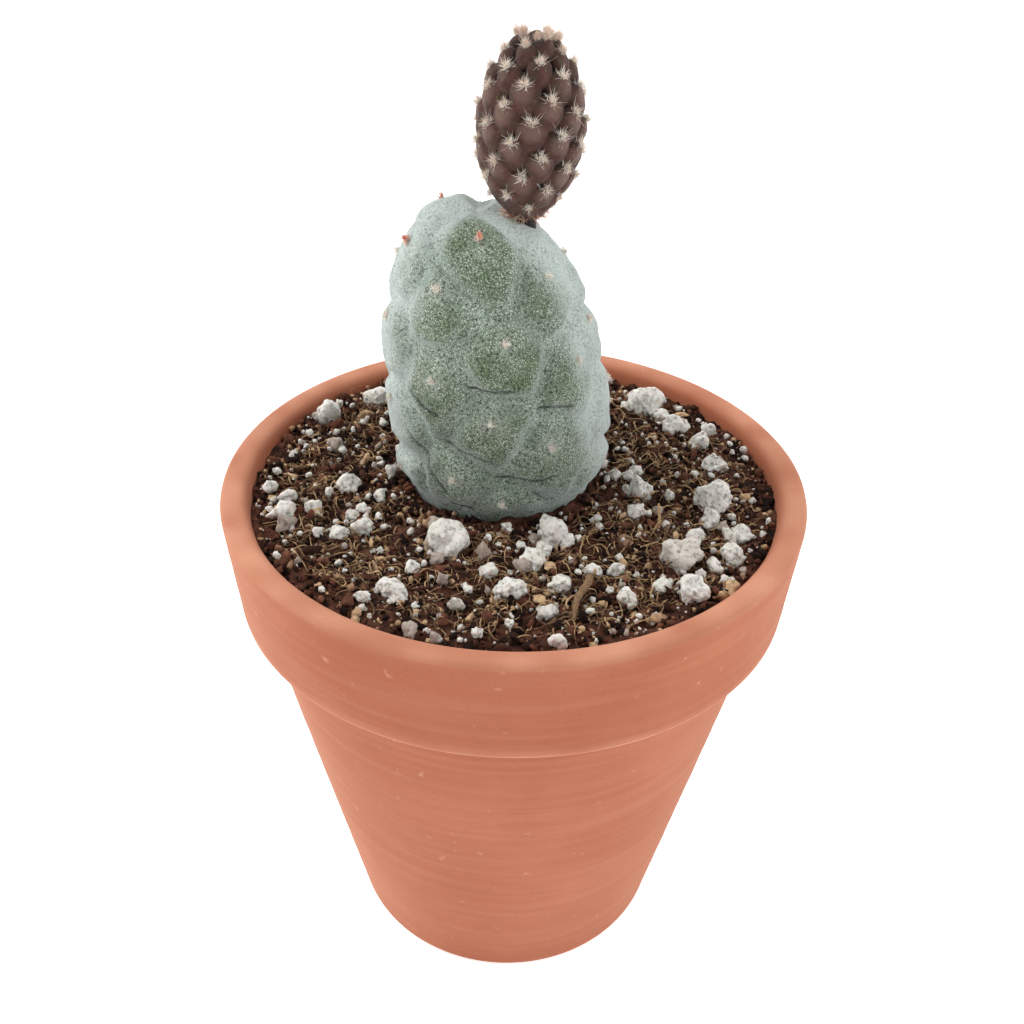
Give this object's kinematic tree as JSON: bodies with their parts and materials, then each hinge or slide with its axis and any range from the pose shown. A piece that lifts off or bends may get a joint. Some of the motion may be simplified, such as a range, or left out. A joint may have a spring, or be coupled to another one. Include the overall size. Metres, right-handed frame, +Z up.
{
  "type": "potted pine cone cactus",
  "caption": "Pine cone cactus in a plain clay pot: a leaning blue-green stem segment with a young scaly cone segment on its shoulder, in soil with perlite.",
  "frame": {"origin": "centre of the pot's underside, on the surface that the pot stands on", "axes": "+Z up along the pot's axis; -Y towards the viewer of the picture; +X to the viewer's right"},
  "size_m": [0.108, 0.108, 0.181],
  "materials": {
    "terracotta": "unglazed, dull, faintly streaked",
    "potting_soil": "loose peat and fibre with white perlite",
    "blue_green_skin": "waxy, finely speckled",
    "purple_brown_skin": "dull, with pale woolly tufts"
  },
  "bodies": {
    "root": {"pot": "terracotta", "soil": "potting_soil", "lower_segment": "blue_green_skin", "cone_segment": "purple_brown_skin"}
  },
  "joints": []
}
